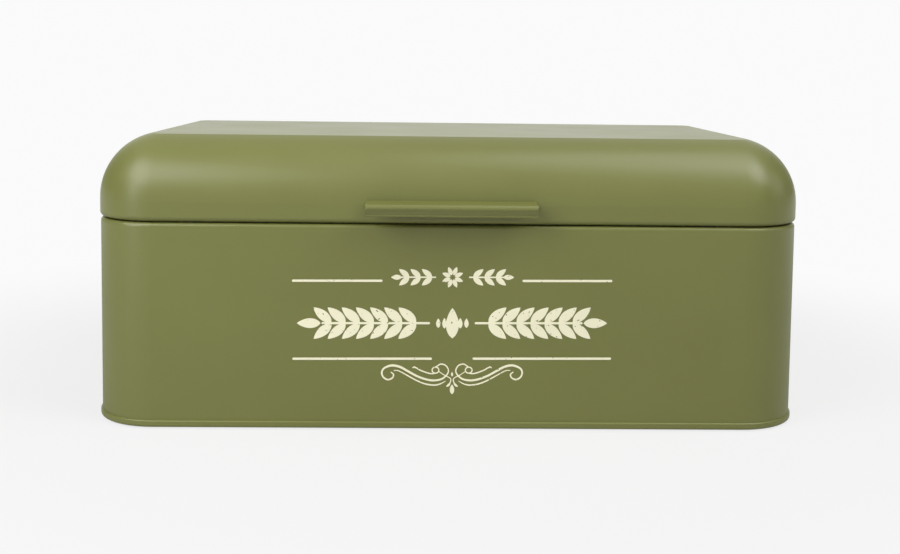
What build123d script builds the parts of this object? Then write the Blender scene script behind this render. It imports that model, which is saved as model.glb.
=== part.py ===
from build123d import *
import math
import os

# A bread box of pressed steel sheet: a wrapped body, a base folded round its foot,
# and a one-piece lid, rolled over on all four sides, that is hinged at the back.
# Millimetres. X runs along the front, Y from front to back, Z up from the table.

# Body
body_width = 420.0
body_depth = 229.0
body_height = 119.9
body_corner_radius = 37.0
sheet = 0.7
shoulder_width = 6.0
shoulder_round = 2.2
back_seam_width = 7.0
vent_hole_radius = 2.2
vent_ring_radius = 9.0
vent_ring_holes = 6
vent_spacing = 120.0
vent_height = 84.0

# Base
foot_drop = 0.8
bead_proud = 1.0
bead_height = 4.2
bead_foot_round = 1.5
bead_top_round = 0.9
bead_under_width = 3.0
fold_thickness = 0.9
fold_clearance = 0.03
floor_recess = 2.5
panel_inset = 20.0
panel_step = 1.6
panel_bevel = 0.9
foot_radius = 6.5
foot_edge_round = 0.8
foot_neck_radius = 2.4
foot_plug_radius = 3.3
foot_plug_tip_radius = 1.6
foot_plug_height = 2.6
foot_inset = 34.0
foot_clearance = 0.05

# Neck inside the mouth
collar_rise = 6.0
collar_flange = 3.4
collar_hem_height = 3.0
collar_hem_round = 0.5

# Lid
seam_gap = 0.8
lid_overhang = 0.4
lid_skirt = 11.0
lid_roll_radius = 39.0
lid_crease_angle = 14.0
lid_hem_round = 2.6
lip_clearance = 0.5
pad_length = 10.0
pad_width = 2.2
pad_spacing = 300.0
pad_clearance = 0.05

# Handle
handle_width = 98.6
handle_height = 8.2
handle_reach = 15.0
handle_above_edge = 5.4
handle_sheet = 0.9
handle_slope_angle = 4.0
handle_undercut_angle = 30.0
handle_bend_radius = 1.6
handle_root_radius = 1.2
handle_edge_radius = 0.8
handle_corner_radius = 1.4
flange_clearance = 1.0
handle_rivet_spacing = 64.0

# Hinges
hinge_width = 40.0
hinge_spacing = 240.0
leaf_sheet = 1.0
leaf_gap = 0.4
leaf_corner_radius = 2.5
knuckle_radius = 2.3
knuckle_count = 5
knuckle_gap = 0.3
pin_radius = 1.2
pin_clearance = 0.05
pin_head_radius = 1.8
pin_head_height = 0.7
pin_end_play = 0.05
open_angle = 100.0
stop_length = 6.5
stop_thickness = 1.2
stop_clearance = 0.03
rivet_to_stop = 0.6

# Rivets
rivet_radius = 1.25
rivet_head_radius = 2.4
rivet_head_height = 1.1
rivet_head_bevel = 0.7
rivet_clearance = 0.05

# How far a cut or a drilled hole runs past the face it starts from
cut_reach = 2.0

# Heights and faces that follow from the sizes above
foot_of_box = foot_drop
floor_underside = foot_of_box + floor_recess
floor_top = floor_underside + sheet
panel_underside = floor_underside + panel_step
panel_top = panel_underside + sheet
shoulder = foot_of_box + body_height
lid_edge = shoulder + seam_gap
roll_centre = lid_edge + lid_skirt
lid_top = roll_centre + lid_roll_radius * math.cos(math.radians(lid_crease_angle))
hinge_height = shoulder + seam_gap / 2
front_face = -body_depth / 2
back_face = body_depth / 2
lid_front = front_face - lid_overhang
lid_corner_radius = body_corner_radius + lid_overhang
hinge_axis = back_face + knuckle_radius
leaf_length = roll_centre - hinge_height
leaf_rivet_height = (leaf_length + knuckle_radius) / 2
knuckle_pitch = hinge_width / knuckle_count
leaf_rivet_reach = hinge_width / 2 - knuckle_pitch - rivet_to_stop - rivet_head_radius
stop_top = knuckle_radius - leaf_sheet - stop_clearance
lean = math.radians(open_angle - 90)
hinge_reach = knuckle_radius + stop_length * math.cos(lean) + stop_top * math.sin(lean)

# The origin lies under the middle of the whole box, handle and hinges counted
origin_shift = Vector(0, (lid_overhang + handle_reach - hinge_reach) / 2, 0)


def outline(inset):
    """Plan of the body, drawn in from its outer face."""
    return RectangleRounded(body_width - 2 * inset, body_depth - 2 * inset, body_corner_radius - inset)


def prism(plan, low, high):
    return extrude(Pos(0, 0, low) * plan, high - low)


def ring(outer_inset, inner_inset, low, high):
    return prism(outline(outer_inset) - outline(inner_inset), low, high)


def round_end(solid, place, radius):
    """Rounds the lowest (0) or highest (-1) edges of a solid."""
    return fillet(solid.edges().group_by(Axis.Z)[place], radius)


def across(radius, length, x, y, z):
    """A cylinder along X, centred on the point."""
    return Pos(x, y, z) * Rot(Y=90) * Cylinder(radius, length)


def body_shell(inset):
    """The block that the body's outer or inner face bounds, open below."""
    block = prism(outline(inset), foot_of_box + fold_thickness, shoulder - inset)
    return round_end(block, -1, shoulder_round - inset)


def vent_places():
    """Two rosettes of holes high in the back wall."""
    places = []
    for side in (-1, 1):
        centre = Vector(side * vent_spacing / 2, back_face, vent_height)
        places.append(centre)
        for index in range(vent_ring_holes):
            angle = 2 * math.pi * index / vent_ring_holes
            spoke = Vector(math.cos(angle), 0, math.sin(angle)) * vent_ring_radius
            places.append(centre + spoke)
    return places


def make_body_wall():
    wall = body_shell(0) - body_shell(sheet)
    wall -= prism(outline(shoulder_width), shoulder - cut_reach, shoulder + cut_reach)
    seam_low = foot_of_box + bead_height + sheet
    seam_high = shoulder - shoulder_round
    seam = Box(back_seam_width, sheet, seam_high - seam_low)
    wall += Pos(0, back_face + sheet / 2, (seam_low + seam_high) / 2) * seam
    for place in vent_places():
        wall -= Pos(place) * Rot(X=90) * Cylinder(vent_hole_radius, 2 * cut_reach)
    for place in leaf_rivet_places(-1):
        wall -= rivet_hole(place)
    return wall


def make_base_pan():
    """The bead is folded round the foot of the wall, and a stiffening panel is pressed up in the floor."""
    bead_top = foot_of_box + bead_height
    pan = prism(outline(-bead_proud), foot_of_box, bead_top)
    pan = round_end(pan, 0, bead_foot_round)
    pan = round_end(pan, -1, bead_top_round)
    pan -= ring(-fold_clearance, sheet + fold_clearance, foot_of_box + fold_thickness, bead_top)
    pan -= prism(outline(sheet + fold_thickness), floor_top, bead_top)
    pan -= prism(outline(bead_under_width), foot_of_box, floor_underside)
    panel = prism(outline(panel_inset), floor_underside, panel_top)
    pan += chamfer(panel.edges().group_by(Axis.Z)[-1], panel_bevel)
    pan -= prism(outline(panel_inset + sheet), floor_underside, panel_underside)
    for x, y in foot_places():
        pan -= Pos(x, y, panel_top) * Cylinder(foot_neck_radius + foot_clearance, 2 * cut_reach)
    return pan


def foot_places():
    x = body_width / 2 - foot_inset
    y = body_depth / 2 - foot_inset
    return [(-x, -y), (x, -y), (-x, y), (x, y)]


def make_foot():
    """A rubber foot with a plug that snaps through the floor."""
    half = Polyline(
        (0, 0),
        (foot_radius - foot_edge_round, 0),
        (foot_radius, foot_edge_round),
        (foot_radius, panel_underside),
        (foot_neck_radius, panel_underside),
        (foot_neck_radius, panel_top),
        (foot_plug_radius, panel_top),
        (foot_plug_tip_radius, panel_top + foot_plug_height),
        (0, panel_top + foot_plug_height),
        close=True,
    )
    return revolve(Plane.XZ * make_face(half), Axis.Z)


def make_rim_collar():
    """An L-shaped ring under the shoulder, with its top edge folded over."""
    top = shoulder + collar_rise
    outer = shoulder_width
    inner = shoulder_width + sheet
    hem = ring(outer, inner + sheet, top - collar_hem_height, top)
    hem = round_end(hem, -1, collar_hem_round)
    neck = ring(outer, inner, shoulder - 2 * sheet, top - collar_hem_height)
    flange = ring(outer - collar_flange, inner, shoulder - 2 * sheet, shoulder - sheet)
    return hem + neck + flange


def lid_section(inset):
    """Section of the lid's rim, drawn in from its outer face, with the axis of a corner at X = 0.
    The roll ends short of level, so that it meets the flat top in a crease."""
    low = lid_edge + inset
    top = lid_top - inset
    face = lid_corner_radius - inset
    hem = lid_hem_round - inset
    roll = lid_roll_radius - inset
    roll_angle = math.asin((top - roll_centre) / roll)
    crease = face - roll + roll * math.cos(roll_angle)
    start = crease / 2
    edges = [
        Line((start, low), (face - hem, low)),
        CenterArc((face - hem, low + hem), hem, 270, 90),
        Line((face, low + hem), (face, roll_centre)),
        CenterArc((face - roll, roll_centre), roll, 0, math.degrees(roll_angle)),
        Line((crease, top), (start, top)),
        Line((start, top), (start, low)),
    ]
    return Plane.XZ * make_face(Curve() + edges), start


def lid_block(inset):
    """The block that the lid's outer or inner face bounds, flush with the body at the back: the
    section swept along the four sides and round the corners, and the middle that it encloses."""
    section, start = lid_section(inset)
    x = body_width / 2 - body_corner_radius
    front = front_face + body_corner_radius
    back = back_face - lid_corner_radius
    axes = [Vector(x, back), Vector(-x, back), Vector(-x, front), Vector(x, front)]
    path = []
    for index, axis in enumerate(axes):
        turn = 90 * index
        out = Vector(start, 0).rotate(Axis.Z, turn)
        path += [Line(axes[index - 1] + out, axis + out), CenterArc(axis, start, turn, 90)]
    rim = sweep(Pos(x, front) * section, path=Wire(path))
    middle = RectangleRounded(2 * (x + start), back - front + 2 * start, start)
    return rim + prism(Pos(0, (front + back) / 2) * middle, lid_edge + inset, lid_top - inset)


def make_lid_shell():
    shell = lid_block(0) - lid_block(sheet)
    shell -= prism(outline(shoulder_width - lip_clearance), lid_edge - cut_reach, lid_edge + cut_reach)
    for place in leaf_rivet_places(1):
        shell -= rivet_hole(place)
    for place in handle_rivet_places():
        shell -= rivet_hole(place)
    return shell


def make_lid_pads():
    """Thin pads on the shoulder, two along the front and two along the back."""
    thickness = seam_gap - pad_clearance
    reach = body_depth / 2 - (shoulder_width + shoulder_round) / 2
    pad = Box(pad_length, pad_width, thickness)
    pads = []
    for x in (-pad_spacing / 2, pad_spacing / 2):
        for y in (-reach, reach):
            pads.append(Pos(x, y, shoulder + thickness / 2) * pad)
    return pads


def handle_path(low, high):
    """Middle line of the handle's sheet: up the flange, out along the top, round the bend and down."""
    half = handle_sheet / 2
    slope = math.radians(handle_slope_angle)
    undercut = math.radians(handle_undercut_angle)
    root = Vector(lid_front - half, high - half)
    centre_y = lid_front - handle_reach + half + handle_bend_radius
    centre_z = root.Y - math.tan(slope) * (root.X - centre_y) - handle_bend_radius / math.cos(slope)
    centre = Vector(centre_y, centre_z)
    bend_start = centre + Vector(-math.sin(slope), math.cos(slope)) * handle_bend_radius
    bend_middle = centre + Vector(-1, 0) * handle_bend_radius
    bend_end = centre + Vector(-math.cos(undercut), -math.sin(undercut)) * handle_bend_radius
    edge_z = low + handle_edge_radius
    edge = Vector(bend_end.X + math.tan(undercut) * (bend_end.Y - edge_z), edge_z)
    top = FilletPolyline((root.X, low + flange_clearance), root, bend_start, radius=handle_root_radius)
    return Curve() + [top, ThreePointArc(bend_start, bend_middle, bend_end), Line(bend_end, edge)], edge


def make_handle():
    """A hood of bent sheet with a flange against the lid and a folded lower edge."""
    low = lid_edge + handle_above_edge
    high = low + handle_height
    path, edge = handle_path(low, high)
    hood = extrude(Plane.YZ * trace(path, handle_sheet), handle_width / 2, both=True)
    hood += across(handle_edge_radius, handle_width, 0, edge.X, edge.Y)
    front_view = RectangleRounded(handle_width, handle_height, handle_corner_radius)
    front_mask = extrude(Plane.XZ * front_view, body_depth, both=True)
    hood &= Pos(0, 0, (low + high) / 2) * front_mask
    plan = RectangleRounded(handle_width, 2 * handle_reach, handle_corner_radius)
    hood &= Pos(0, lid_front) * prism(plan, low, high)
    for place in handle_rivet_places():
        hood -= rivet_hole(place)
    return hood


def handle_rivet_places():
    flat_top = handle_height - handle_sheet / 2 - handle_root_radius
    z = lid_edge + handle_above_edge + (flange_clearance + flat_top) / 2
    x = handle_rivet_spacing / 2
    return [Vector(-x, lid_front, z), Vector(x, lid_front, z)]


def leaf_rivet_places(side):
    """Rivet places of both hinges, on the lid's leaves (1) or the body's (-1)."""
    z = hinge_height + side * leaf_rivet_height
    places = []
    for hinge in (-1, 1):
        for rivet in (-1, 1):
            x = hinge * hinge_spacing / 2 + rivet * leaf_rivet_reach
            places.append(Vector(x, back_face, z))
    return places


def rivet_hole(place):
    return Pos(place) * Rot(X=90) * Cylinder(rivet_radius + rivet_clearance, 2 * cut_reach)


def make_rivet(outer_sheet):
    """A rivet along Z: the seam of the two sheets is at zero and the outer sheet lies above it."""
    tail = Pos(0, 0, -sheet - rivet_head_height) * extrude(Circle(rivet_head_radius), rivet_head_height)
    shank = Pos(0, 0, -sheet) * extrude(Circle(rivet_radius), sheet + outer_sheet)
    head = Pos(0, 0, outer_sheet) * extrude(Circle(rivet_head_radius), rivet_head_height)
    rivet = tail + shank + head
    return chamfer(rivet.edges().group_by(Axis.Z)[-1], rivet_head_bevel)


def rivet_group(places, outer_sheet, turn):
    return [Pos(place) * Rot(X=turn) * make_rivet(outer_sheet) for place in places]


def make_leaf(side):
    """One hinge leaf about its pin, for the lid (1) or the body (-1). The wall is at -Y."""
    start = knuckle_radius + leaf_gap
    y = leaf_sheet / 2 - knuckle_radius
    plate = Pos(0, y, side * (start + leaf_length) / 2) * Box(hinge_width, leaf_sheet, leaf_length - start)
    outer_corners = plate.edges().filter_by(Axis.Y).group_by(Axis.Z)[-1 if side > 0 else 0]
    leaf = fillet(outer_corners, leaf_corner_radius)
    first = 1 if side > 0 else 0
    for index in range(first, knuckle_count, 2):
        x = (index + 0.5) * knuckle_pitch - hinge_width / 2
        width = knuckle_pitch - knuckle_gap
        leaf += Pos(x, y, side * (start + leaf_sheet) / 2) * Box(width, leaf_sheet, start + leaf_sheet)
        leaf += across(knuckle_radius, width, x, 0, 0)
    if side < 0:
        leaf += leaf_stops()
    for x in (-leaf_rivet_reach, leaf_rivet_reach):
        leaf -= rivet_hole((x, y, side * leaf_rivet_height))
    return leaf - across(pin_radius + pin_clearance, 2 * hinge_width, 0, 0, 0)


def leaf_stops():
    """Tongues on the outermost knuckles, which the lid's leaf meets when the lid leans back."""
    root = (pin_radius + knuckle_radius) / 2
    length = stop_length - root
    tongue = Box(knuckle_pitch - knuckle_gap, length, stop_thickness)
    tongue = Pos(0, root + length / 2, stop_top - stop_thickness / 2) * tongue
    reach = (hinge_width - knuckle_pitch) / 2
    return [Pos(x, 0, 0) * Rot(X=90 - open_angle) * tongue for x in (-reach, reach)]


def make_pin():
    length = hinge_width - knuckle_gap + 2 * pin_end_play
    pin = across(pin_radius, length, 0, 0, 0)
    for end in (-1, 1):
        pin += across(pin_head_radius, pin_head_height, end * (length + pin_head_height) / 2, 0, 0)
    return pin


def save(name, shape):
    solids = shape if isinstance(shape, list) else shape.solids()
    placed = [Pos(origin_shift) * solid for solid in solids]
    whole = placed[0] if len(placed) == 1 else Compound(children=placed)
    export_step(whole, "parts/" + name + ".step")


def build():
    os.makedirs("parts", exist_ok=True)
    save("body_wall", make_body_wall())
    save("base_pan", make_base_pan())
    save("rim_collar", make_rim_collar())
    foot_names = ("foot_front_left", "foot_front_right", "foot_back_left", "foot_back_right")
    for name, (x, y) in zip(foot_names, foot_places()):
        save(name, Pos(x, y, 0) * make_foot())
    save("lid_shell", make_lid_shell())
    save("lid_pads", make_lid_pads())
    save("handle", make_handle())
    save("handle_rivets", rivet_group(handle_rivet_places(), handle_sheet, 90))
    for index, name in enumerate(("left", "right")):
        place = Pos((2 * index - 1) * hinge_spacing / 2, hinge_axis, hinge_height)
        own = slice(2 * index, 2 * index + 2)
        save("hinge_body_leaf_" + name, place * make_leaf(-1))
        save("hinge_lid_leaf_" + name, place * make_leaf(1))
        save("hinge_pin_" + name, place * make_pin())
        save("body_leaf_rivets_" + name, rivet_group(leaf_rivet_places(-1)[own], leaf_sheet, -90))
        save("lid_leaf_rivets_" + name, rivet_group(leaf_rivet_places(1)[own], leaf_sheet, -90))


build()
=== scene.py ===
import math

import bpy
from mathutils import Matrix, Vector


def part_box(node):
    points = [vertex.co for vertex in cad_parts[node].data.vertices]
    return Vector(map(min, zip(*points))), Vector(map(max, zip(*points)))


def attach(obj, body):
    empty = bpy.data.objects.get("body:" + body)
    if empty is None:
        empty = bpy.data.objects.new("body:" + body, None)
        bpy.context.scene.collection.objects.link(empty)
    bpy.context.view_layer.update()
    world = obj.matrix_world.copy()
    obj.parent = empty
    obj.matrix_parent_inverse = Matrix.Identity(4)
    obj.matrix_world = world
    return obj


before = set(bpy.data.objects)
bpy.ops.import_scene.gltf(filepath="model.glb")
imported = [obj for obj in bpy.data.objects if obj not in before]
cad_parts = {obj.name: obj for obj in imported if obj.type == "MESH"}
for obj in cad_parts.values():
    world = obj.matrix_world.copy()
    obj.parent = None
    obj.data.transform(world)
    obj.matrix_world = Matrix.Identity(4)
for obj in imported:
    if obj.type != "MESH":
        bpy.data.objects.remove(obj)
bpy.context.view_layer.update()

MM = 0.001

# Front face and foot of the box, taken from the frame
front_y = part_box("body_wall")[0].y
box_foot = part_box("base_pan")[0].z

# The photograph's frame and the camera that took it
photo_width = 900
photo_height = 554
focal_px = 1159.1
axis_px = (446.9, 153.6)
camera_left = 17.8 * MM
camera_back = 665.0 * MM
camera_height = 211.5 * MM
camera_yaw = 0.0223
camera_pitch = 0.075
camera_roll = 0.0120
sensor_width = 36.0
nearest_seen = 10.0 * MM

# Paint and metal colours, as the eye reads them on screen
sage_green = (110, 113, 57)
print_cream = (238, 234, 204)
zinc_grey = (168, 170, 168)
rubber_grey = (52, 52, 50)
paper_grey = (205, 205, 205)


def linear(colour):
    """A screen colour as the linear colour that shaders take."""
    values = []
    for part in colour:
        level = part / 255
        values.append(level / 12.92 if level <= 0.04045 else ((level + 0.055) / 1.055) ** 2.4)
    return (*values, 1.0)


# Shader building blocks
def feed(tree, socket, value):
    """Sets a socket to a number, or links it to another socket."""
    if isinstance(value, (int, float)):
        socket.default_value = value
    else:
        tree.links.new(value, socket)


def add_node(tree, kind, **inputs):
    """A new node with the values of its inputs, where _ stands for a space in a name."""
    node = tree.nodes.new(kind)
    for name, value in inputs.items():
        node.inputs[name.replace("_", " ")].default_value = value
    return node


def maths(tree, operation, first, second):
    """What a sum of two numbers or sockets comes to."""
    node = tree.nodes.new("ShaderNodeMath")
    node.operation = operation
    for socket, value in zip(node.inputs, (first, second)):
        feed(tree, socket, value)
    return node.outputs[0]


def noise(tree, place, scale, detail):
    """A soft random pattern round 0.5, finer for a larger scale."""
    node = add_node(tree, "ShaderNodeTexNoise", Detail=detail)
    tree.links.new(place, node.inputs["Vector"])
    feed(tree, node.inputs["Scale"], scale)
    return node.outputs["Fac"]


def fade(tree, value, start, end, before, after):
    """Goes smoothly from one level to another while a value goes from start to end."""
    node = add_node(tree, "ShaderNodeMapRange", From_Min=start, From_Max=end, To_Min=before, To_Max=after)
    node.interpolation_type = "SMOOTHSTEP"
    tree.links.new(value, node.inputs["Value"])
    return node.outputs["Result"]


def mix_shaders(tree, share, first, second, output):
    """Sends an output the first shader, with a share of the second in its place."""
    mix = tree.nodes.new("ShaderNodeMixShader")
    tree.links.new(share, mix.inputs[0])
    tree.links.new(first.outputs[0], mix.inputs[1])
    tree.links.new(second.outputs[0], mix.inputs[2])
    tree.links.new(mix.outputs[0], output.inputs["Surface"])


def new_group(name, inputs, outputs):
    """An empty shader group with its inputs and outputs declared."""
    group = bpy.data.node_groups.new(name, "ShaderNodeTree")
    for label, kind in inputs:
        group.interface.new_socket(label, in_out="INPUT", socket_type=kind)
    for label, kind in outputs:
        group.interface.new_socket(label, in_out="OUTPUT", socket_type=kind)
    source = group.nodes.new("NodeGroupInput")
    sink = group.nodes.new("NodeGroupOutput")
    return group, source.outputs, sink.inputs


def new_material(name, **shader_values):
    """A material with its tree, its shader and the place on the object that patterns follow."""
    material = bpy.data.materials.new(name)
    material.use_nodes = True
    tree = material.node_tree
    shader = tree.nodes["Principled BSDF"]
    for label, value in shader_values.items():
        shader.inputs[label.replace("_", " ")].default_value = value
    place = tree.nodes.new("ShaderNodeTexCoord").outputs["Object"]
    return material, tree, shader, place


def add_bump(tree, shader, height, strength, depth):
    """Roughens a surface with the heights of a pattern."""
    bump = add_node(tree, "ShaderNodeBump", Strength=strength, Distance=depth)
    tree.links.new(height, bump.inputs["Height"])
    tree.links.new(bump.outputs["Normal"], shader.inputs["Normal"])


# Finishes, with scales in patterns to the metre
noise_middle = 0.5
cloud_scale = 22.0
grain_scale = 1400.0
grain_share = 0.5
wave_scale = 95.0
wave_share = 1.6
gloss_change = 0.12
fleck_scale = 620.0
fleck_start = 0.66
fleck_end = 0.70
brush_scale = (60.0, 2600.0, 2600.0)
bloom_scale = 260.0
dull_zinc = 0.82
bright_zinc = 1.15
zinc_roughness = 0.22
brush_roughness = 0.22


def sprayed_paint_group():
    """Stoved paint: faint clouds of tone, a fine grain, and the orange peel of a sprayed coat."""
    group, given, result = new_group(
        "sprayed_paint",
        [("Place", "NodeSocketVector"), ("Paint", "NodeSocketColor"), ("Tone Change", "NodeSocketFloat"),
         ("Roughness", "NodeSocketFloat"), ("Peel Size", "NodeSocketFloat")],
        [("Color", "NodeSocketColor"), ("Roughness", "NodeSocketFloat"), ("Height", "NodeSocketFloat")],
    )
    place = given["Place"]
    clouds = noise(group, place, cloud_scale, detail=3.0)
    grain = noise(group, place, grain_scale, detail=1.0)
    mottle = maths(group, "ADD", clouds, maths(group, "MULTIPLY", grain, grain_share))
    centred = maths(group, "SUBTRACT", mottle, noise_middle * (1 + grain_share))
    tone = maths(group, "ADD", maths(group, "MULTIPLY", centred, given["Tone Change"]), 1.0)
    tint = add_node(group, "ShaderNodeHueSaturation")
    group.links.new(given["Paint"], tint.inputs["Color"])
    group.links.new(tone, tint.inputs["Value"])
    group.links.new(tint.outputs["Color"], result["Color"])
    gloss = maths(group, "MULTIPLY", maths(group, "SUBTRACT", clouds, noise_middle), gloss_change)
    group.links.new(maths(group, "ADD", given["Roughness"], gloss), result["Roughness"])
    peel = noise(group, place, given["Peel Size"], detail=1.5)
    waves = noise(group, place, wave_scale, detail=1.0)
    height = maths(group, "ADD", peel, maths(group, "MULTIPLY", waves, wave_share))
    group.links.new(height, result["Height"])
    return group


def add_paint(tree, shader, place, colour, tone_change, roughness, peel_size):
    """Sprayed paint with its own values, laid on a shader's colour and roughness."""
    node = tree.nodes.new("ShaderNodeGroup")
    node.node_tree = paint_group
    tree.links.new(place, node.inputs["Place"])
    node.inputs["Paint"].default_value = linear(colour)
    node.inputs["Tone Change"].default_value = tone_change
    node.inputs["Roughness"].default_value = roughness
    node.inputs["Peel Size"].default_value = peel_size
    tree.links.new(node.outputs["Color"], shader.inputs["Base Color"])
    tree.links.new(node.outputs["Roughness"], shader.inputs["Roughness"])
    return node.outputs


def enamel_material():
    """Satin sage-green enamel on steel."""
    material, tree, shader, place = new_material("sage_enamel")
    paint = add_paint(tree, shader, place, sage_green, tone_change=0.10, roughness=0.36, peel_size=650.0)
    add_bump(tree, shader, paint["Height"], strength=0.10, depth=0.2 * MM)
    return material


def print_material():
    """Cream screen print with the small worn flecks of a distressed design."""
    material, tree, shader, place = new_material("cream_print")
    paint = add_paint(tree, shader, place, print_cream, tone_change=0.10, roughness=0.55, peel_size=900.0)
    worn = add_node(tree, "ShaderNodeMapRange", From_Min=fleck_start, From_Max=fleck_end)
    tree.links.new(noise(tree, place, fleck_scale, detail=2.0), worn.inputs["Value"])
    mix = tree.nodes.new("ShaderNodeMix")
    mix.data_type = "RGBA"
    tree.links.new(worn.outputs["Result"], mix.inputs["Factor"])
    tree.links.new(paint["Color"], mix.inputs["A"])
    mix.inputs["B"].default_value = linear(sage_green)
    tree.links.new(mix.outputs["Result"], shader.inputs["Base Color"])
    add_bump(tree, shader, paint["Height"], strength=0.12, depth=0.1 * MM)
    return material


def zinc_material():
    """Zinc-plated steel, brushed along the hinge."""
    material, tree, shader, place = new_material("zinc_steel", Metallic=1.0)
    stretch = add_node(tree, "ShaderNodeMapping", Scale=brush_scale)
    tree.links.new(place, stretch.inputs["Vector"])
    lines = noise(tree, stretch.outputs["Vector"], 1.0, detail=3.0)
    bloom = noise(tree, place, bloom_scale, detail=3.0)
    ramp = tree.nodes.new("ShaderNodeValToRGB")
    for element, tone in zip(ramp.color_ramp.elements, (dull_zinc, bright_zinc)):
        element.color = linear([tone * part for part in zinc_grey])
    tree.links.new(bloom, ramp.inputs["Fac"])
    tree.links.new(ramp.outputs["Color"], shader.inputs["Base Color"])
    roughness = maths(tree, "ADD", maths(tree, "MULTIPLY", lines, brush_roughness), zinc_roughness)
    tree.links.new(roughness, shader.inputs["Roughness"])
    add_bump(tree, shader, lines, strength=0.15, depth=0.1 * MM)
    return material


def rubber_material():
    """Moulded black rubber with a fine matt grain."""
    material, tree, shader, place = new_material("moulded_rubber")
    paint = add_paint(tree, shader, place, rubber_grey, tone_change=0.30, roughness=0.75, peel_size=1800.0)
    add_bump(tree, shader, paint["Height"], strength=0.3, depth=0.2 * MM)
    return material


def dress(node_names, material):
    """Gives CAD nodes their finish."""
    for name in node_names:
        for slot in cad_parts[name].material_slots:
            slot.material = material


# Printed ornament, in millimetres over the foot of the box and from the print's own middle
print_middle = 1.4
print_height = 62.0
print_turn = 0.0066
film_thickness = 0.12
film_sink = 0.02
layer_step = 0.002
thinnest_line = 0.03
rule_width = 1.35
rule_reach = 93.0
upper_rule_height = 87.5
upper_rule_gap = 40.6
lower_rule_height = 41.6
lower_rule_gap = 11.8
small_row_height = 89.6
large_row_height = 62.6
petals = 8
petal_ring = 1.3
diamond_length = 18.0
scroll_weight = 0.7

# How finely curves, leaves, rounded ends and rings are drawn, and where a leaf is widest and how blunt
curve_steps = 8
leaf_steps = 12
end_steps = 4
ring_steps = 16
leaf_belly = 0.85
leaf_bluntness = 0.8


def smooth(points):
    """A smooth line through points of x, z and width."""
    line = []
    last = len(points) - 1
    for index in range(last):
        before = Vector(points[max(index - 1, 0)])
        start = Vector(points[index])
        end = Vector(points[index + 1])
        after = Vector(points[min(index + 2, last)])
        slope = end - before
        bend = 2 * before - 5 * start + 4 * end - after
        twist = 3 * start - before - 3 * end + after
        for step in range(curve_steps):
            t = step / curve_steps
            line.append(0.5 * (2 * start + slope * t + bend * t ** 2 + twist * t ** 3))
    line.append(Vector(points[last]))
    return line


def rule(start, end, z, width):
    """A straight rule with rounded ends."""
    line = []
    for step in range(end_steps + 1):
        angle = math.pi / 2 * step / end_steps
        line.append((start + width / 2 * (1 - math.cos(angle)), z, width * math.sin(angle)))
    line += [(start + end - x, z, breadth) for x, _, breadth in reversed(line)]
    return line


def on_front(x, z, y):
    """A point of the print, turned a hair with all of it, and set at y on the front."""
    across = print_middle + x - print_turn * (z - print_height)
    return across * MM, y, box_foot + (z + print_turn * x) * MM


class Print:
    """Cream strokes gathered into one thin raised piece on the front."""

    def __init__(self, name):
        self.name = name
        self.vertices = []
        self.faces = []
        self.layers = 0

    def stroke(self, line):
        """Adds one ribbon along the line, as wide as each of its points says."""
        # Each point of the line has four corners, two on the face and two sunk in the wall
        face_y = front_y - (film_thickness + self.layers * layer_step) * MM
        sunk_y = front_y + film_sink * MM
        self.layers += 1
        first = len(self.vertices)
        last = len(line) - 1
        for index, (x, z, width) in enumerate(line):
            ahead = line[min(index + 1, last)]
            behind = line[max(index - 1, 0)]
            along = Vector((ahead[0] - behind[0], ahead[1] - behind[1])).normalized()
            half = Vector((-along.y, along.x)) * max(width, thinnest_line) / 2
            for y in (face_y, sunk_y):
                for side in (half, -half):
                    self.vertices.append(on_front(x + side.x, z + side.y, y))
        end = first + 4 * last
        for near in range(first, end, 4):
            far = near + 4
            self.faces += [(near, near + 1, far + 1, far), (near + 3, near + 2, far + 2, far + 3),
                           (near + 2, near, far, far + 2), (near + 1, near + 3, far + 3, far + 1)]
        self.faces += [(first, first + 2, first + 3, first + 1), (end, end + 1, end + 3, end + 2)]

    def both_sides(self, line):
        """The same stroke on the right and, mirrored, on the left."""
        self.stroke(line)
        self.stroke([(-x, z, width) for x, z, width in line])

    def leaf(self, start, angle, length, width, mirrored=True):
        """A pointed oval that grows from its start at an angle, in degrees from +X."""
        turn = math.radians(angle)
        line = []
        for step in range(leaf_steps + 1):
            t = step / leaf_steps
            x = start[0] + math.cos(turn) * length * t
            z = start[1] + math.sin(turn) * length * t
            swell = math.sin(math.pi * t ** leaf_belly) ** leaf_bluntness if 0 < t < 1 else 0.0
            line.append((x, z, width * swell))
        if mirrored:
            self.both_sides(line)
        else:
            self.stroke(line)

    def sprig(self, z, stem, stem_width, first, spacing, pairs, apart, angle, length, width, tip):
        """A stem with pairs of leaves and one at its tip, given as its start, length and width."""
        self.both_sides(rule(*stem, z, stem_width))
        for index in range(pairs):
            x = first + spacing * index
            self.leaf((x, z + apart), angle, length, width)
            self.leaf((x, z - apart), -angle, length, width)
        tip_start, tip_length, tip_width = tip
        self.leaf((tip_start, z), 0, tip_length, tip_width)

    def build(self):
        """Makes the piece, which rides on the body."""
        mesh = bpy.data.meshes.new(self.name)
        mesh.from_pydata(self.vertices, [], self.faces)
        mesh.materials.append(cream)
        piece = bpy.data.objects.new(self.name, mesh)
        bpy.context.collection.objects.link(piece)
        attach(piece, "body")


def make_rules():
    """Four straight rules, two above the rows and two below."""
    rules = Print("print_rules")
    rules.both_sides(rule(upper_rule_gap, rule_reach, upper_rule_height, rule_width))
    rules.both_sides(rule(lower_rule_gap, rule_reach, lower_rule_height, rule_width))
    rules.build()


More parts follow.
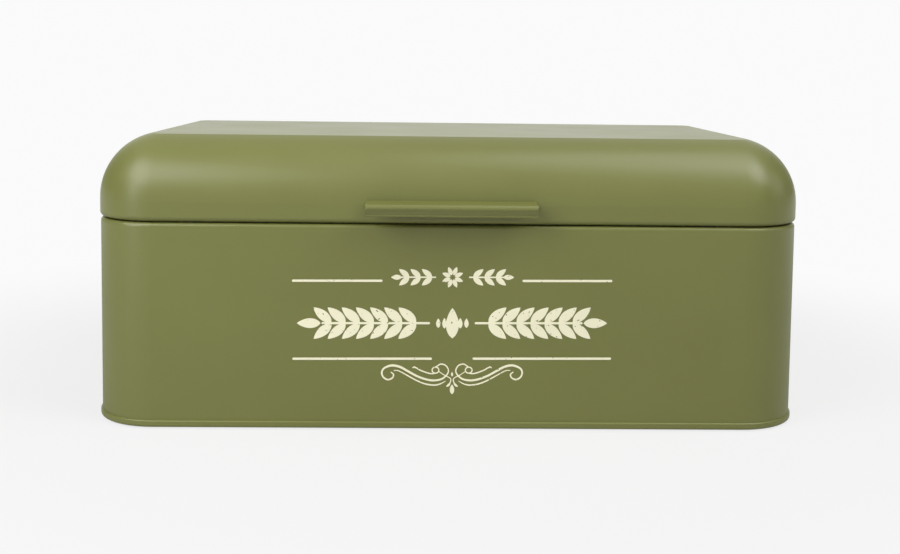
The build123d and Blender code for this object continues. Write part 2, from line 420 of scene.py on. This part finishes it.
def make_small_row():
    """A rosette between two leafy sprigs."""
    row = Print("print_small_row")
    for petal in range(petals):
        angle = 360 / petals * (petal + 0.5)
        turn = math.radians(angle)
        start = (petal_ring * math.cos(turn), small_row_height + petal_ring * math.sin(turn))
        row.leaf(start, angle, length=5.2, width=2.5, mirrored=False)
    row.sprig(small_row_height, stem=(9.5, 31.0), stem_width=0.9, first=12.0, spacing=6.6, pairs=3,
              apart=0.2, angle=38, length=7.4, width=3.2, tip=(29.5, 6.2, 3.0))
    row.build()


def make_large_row():
    """Two wheat ears that grow outwards from a diamond."""
    row = Print("print_large_row")
    middle = large_row_height
    row.leaf((0, middle - diamond_length / 2), 90, diamond_length, width=7.5, mirrored=False)
    for x in (4.6, 8.2):
        length = 7.2 - 0.2 * x
        row.leaf((x, middle - length / 2), 90, length, width=2.6)
    row.sprig(middle, stem=(13.0, 76.0), stem_width=1.3, first=21.0, spacing=8.2, pairs=7,
              apart=0.5, angle=40, length=13.6, width=5.6, tip=(76.5, 13.8, 5.8))
    row.build()


# Right half of the scroll, as points of x, z and width
scroll_main = [
    (35.8, 33.7, 0.9), (34.2, 32.3, 1.2), (34.8, 30.3, 1.3), (37.4, 29.2, 1.4), (40.0, 30.6, 1.4),
    (41.0, 33.3, 1.5), (39.6, 36.0, 1.6), (35.2, 37.6, 1.9), (30.4, 36.7, 1.9), (25.6, 34.1, 1.8),
    (20.7, 31.4, 1.7), (15.4, 29.4, 1.7), (10.6, 28.7, 1.7), (6.0, 29.6, 1.5), (2.9, 32.3, 1.2),
    (2.2, 35.0, 1.1), (3.8, 37.6, 1.1), (6.6, 38.4, 1.1), (8.6, 37.3, 1.0), (9.9, 36.5, 0.9),
]
scroll_under = [
    (34.0, 34.6, 0.7), (31.8, 34.6, 0.8), (29.1, 33.4, 0.9), (24.9, 31.0, 1.0), (20.1, 28.4, 1.1),
    (15.4, 26.6, 1.2), (10.5, 25.9, 1.2), (7.0, 26.6, 1.0), (3.7, 28.4, 0.5),
]
scroll_tail = [
    (9.9, 33.0, 0.9), (11.7, 32.7, 1.0), (14.4, 33.2, 1.1), (18.4, 34.7, 1.1), (20.8, 36.1, 1.1),
    (22.2, 36.6, 1.3), (23.2, 36.1, 0.6),
]
scroll_stem = [
    (7.7, 34.0, 0.7), (4.7, 32.0, 0.8), (1.5, 30.3, 0.8), (0.7, 29.1, 0.9), (1.2, 27.2, 1.1),
    (2.1, 25.9, 1.9), (3.3, 25.1, 0.9),
]


def ring(x, z, half_width, half_height, line_width):
    """A closed oval line round a middle."""
    line = []
    for step in range(ring_steps + 1):
        angle = 2 * math.pi * step / ring_steps
        line.append((x + half_width * math.cos(angle), z + half_height * math.sin(angle), line_width))
    return line


def make_scroll():
    """Mirrored scrolls with a drop between them, under the lower rules."""
    scroll = Print("print_scroll")
    eye = ring(9.7, 34.8, half_width=2.0, half_height=1.8, line_width=1.0)
    for line in (smooth(scroll_main), smooth(scroll_under), eye, smooth(scroll_tail), smooth(scroll_stem)):
        scroll.both_sides([(x, z, scroll_weight * width) for x, z, width in line])
    scroll.leaf((0, 20.5), 90, length=5.8, width=2.6, mirrored=False)
    scroll.leaf((0, 31.1), 90, length=2.6, width=1.2, mirrored=False)
    scroll.build()


# Studio, in metres and watts
plain_white = (1, 1, 1, 1)
world_strength = 0.24
backdrop_white = 0.96
floor_half = 4.0
lamp_target = (0, 0, 0.09)
# Each lamp: name, place, width, height and watts, and if the paint mirrors it
studio_lamps = [
    ("high_left_softbox", (-0.58, -0.57, 0.72), 0.8, 0.6, 6.0, True),
    ("tall_left_softbox", (-1.15, -1.03, 0.42), 0.6, 1.0, 4.3, True),
    ("high_right_softbox", (0.5, -0.35, 1.5), 1.0, 1.0, 6.5, True),
    ("high_right_lamp", (0.88, -0.65, 1.12), 0.65, 0.75, 7.1, True),
    ("right_softbox", (1.4, -0.3, 0.6), 0.7, 0.7, 1.5, True),
    ("back_strip", (0.0, 1.3, 0.55), 1.6, 0.5, 0.55, True),
    ("low_back_strip", (0.0, 0.75, 0.06), 0.8, 0.1, 2.4, False),
]
# Each fade: where it starts and ends, and the level before and after it
studio_sides = (0.35, 0.80, 1.0, 0.20)
studio_ceiling = (0.30, 0.70, 1.0, 0.75)
floor_seen = (0.25, 0.60, 0.8, 1.0)
floor_mirrored = (0.5, 1.2, 0.0, 1.0)


def ray_kinds(tree):
    """Rays that see a background straight or through glass, and those that see it mirrored."""
    path = tree.nodes.new("ShaderNodeLightPath").outputs
    return maths(tree, "MAXIMUM", path["Is Camera Ray"], path["Is Transmission Ray"]), path["Is Glossy Ray"]


def make_world():
    """Even light, and a white studio to see, which paint mirrors darker to the sides and overhead."""
    world = bpy.data.worlds.new("studio")
    bpy.context.scene.world = world
    world.use_nodes = True
    tree = world.node_tree
    tree.nodes.clear()
    light = add_node(tree, "ShaderNodeBackground", Color=plain_white, Strength=world_strength)
    shown = add_node(tree, "ShaderNodeBackground", Color=plain_white)
    output = tree.nodes.new("ShaderNodeOutputWorld")
    direct, mirrored = ray_kinds(tree)
    direction = tree.nodes.new("ShaderNodeSeparateXYZ")
    tree.links.new(tree.nodes.new("ShaderNodeTexCoord").outputs["Generated"], direction.inputs[0])
    sideways = maths(tree, "ABSOLUTE", direction.outputs["X"], 0.0)
    walls = fade(tree, sideways, *studio_sides)
    ceiling = fade(tree, direction.outputs["Z"], *studio_ceiling)
    studio = maths(tree, "MAXIMUM", maths(tree, "MINIMUM", walls, ceiling), direct)
    tree.links.new(maths(tree, "MULTIPLY", studio, backdrop_white), shown.inputs["Strength"])
    mix_shaders(tree, maths(tree, "MAXIMUM", direct, mirrored), light, shown, output)


def make_floor():
    """A pale floor that keeps the box's shadow and fades into the backdrop further out."""
    mesh = bpy.data.meshes.new("studio_floor")
    corners = [(floor_half * x, floor_half * y, 0) for x, y in ((-1, -1), (1, -1), (1, 1), (-1, 1))]
    mesh.from_pydata(corners, [], [(0, 1, 2, 3)])
    floor = bpy.data.objects.new("studio_floor", mesh)
    bpy.context.collection.objects.link(floor)
    material, tree, shader, place = new_material("floor_paper", Roughness=0.9, Specular_IOR_Level=0.1)
    shader.inputs["Base Color"].default_value = linear(paper_grey)
    shown = add_node(tree, "ShaderNodeEmission", Color=plain_white, Strength=backdrop_white)
    distance = tree.nodes.new("ShaderNodeVectorMath")
    distance.operation = "LENGTH"
    tree.links.new(place, distance.inputs[0])
    fades = []
    for rays, limits in zip(ray_kinds(tree), (floor_seen, floor_mirrored)):
        far = fade(tree, distance.outputs["Value"], *limits)
        fades.append(maths(tree, "MULTIPLY", far, rays))
    mix_shaders(tree, maths(tree, "MAXIMUM", *fades), shader, shown, tree.nodes["Material Output"])
    mesh.materials.append(material)


def make_lights():
    """Soft oval lamps aimed at the middle of the box, and unseen by the camera."""
    for name, place, width, height, watts, mirrored in studio_lamps:
        light = bpy.data.lights.new(name, "AREA")
        light.shape = "ELLIPSE"
        light.size = width
        light.size_y = height
        light.energy = watts
        lamp = bpy.data.objects.new(name, light)
        lamp.visible_camera = False
        lamp.visible_glossy = mirrored
        lamp.location = place
        lamp.rotation_euler = (Vector(lamp_target) - Vector(place)).to_track_quat("-Z", "Y").to_euler()
        bpy.context.collection.objects.link(lamp)


def make_camera():
    """The photograph's camera: its place, turn and roll, with the shift of its crop."""
    data = bpy.data.cameras.new("photo_camera")
    data.sensor_width = sensor_width
    data.lens = focal_px / photo_width * sensor_width
    data.shift_x = (photo_width / 2 - axis_px[0]) / photo_width
    data.shift_y = (axis_px[1] - photo_height / 2) / photo_width
    data.clip_start = nearest_seen
    camera = bpy.data.objects.new("photo_camera", data)
    bpy.context.collection.objects.link(camera)
    sight = Vector((math.sin(camera_yaw) * math.cos(camera_pitch),
                    math.cos(camera_yaw) * math.cos(camera_pitch), -math.sin(camera_pitch)))
    level = Vector((math.cos(camera_yaw), -math.sin(camera_yaw), 0))
    upright = level.cross(sight)
    right = math.cos(camera_roll) * level + math.sin(camera_roll) * upright
    up = math.cos(camera_roll) * upright - math.sin(camera_roll) * level
    turn = Matrix((right, up, -sight)).transposed().to_4x4()
    place = Vector((-camera_left, front_y - camera_back, box_foot + camera_height))
    camera.matrix_world = Matrix.Translation(place) @ turn
    bpy.context.scene.camera = camera


bpy.context.scene.view_settings.view_transform = "Standard"
paint_group = sprayed_paint_group()
enamel = enamel_material()
cream = print_material()
zinc = zinc_material()
rubber = rubber_material()

sides = ("left", "right")
dress(["body_wall", "base_pan", "rim_collar", "lid_shell", "handle", "handle_rivets"], enamel)
dress([f"foot_{row}_{side}" for row in ("front", "back") for side in sides] + ["lid_pads"], rubber)
for part in ("hinge_body_leaf", "hinge_lid_leaf", "hinge_pin", "body_leaf_rivets", "lid_leaf_rivets"):
    dress([f"{part}_{side}" for side in sides], zinc)

make_rules()
make_small_row()
make_large_row()
make_scroll()
make_world()
make_floor()
make_lights()
make_camera()
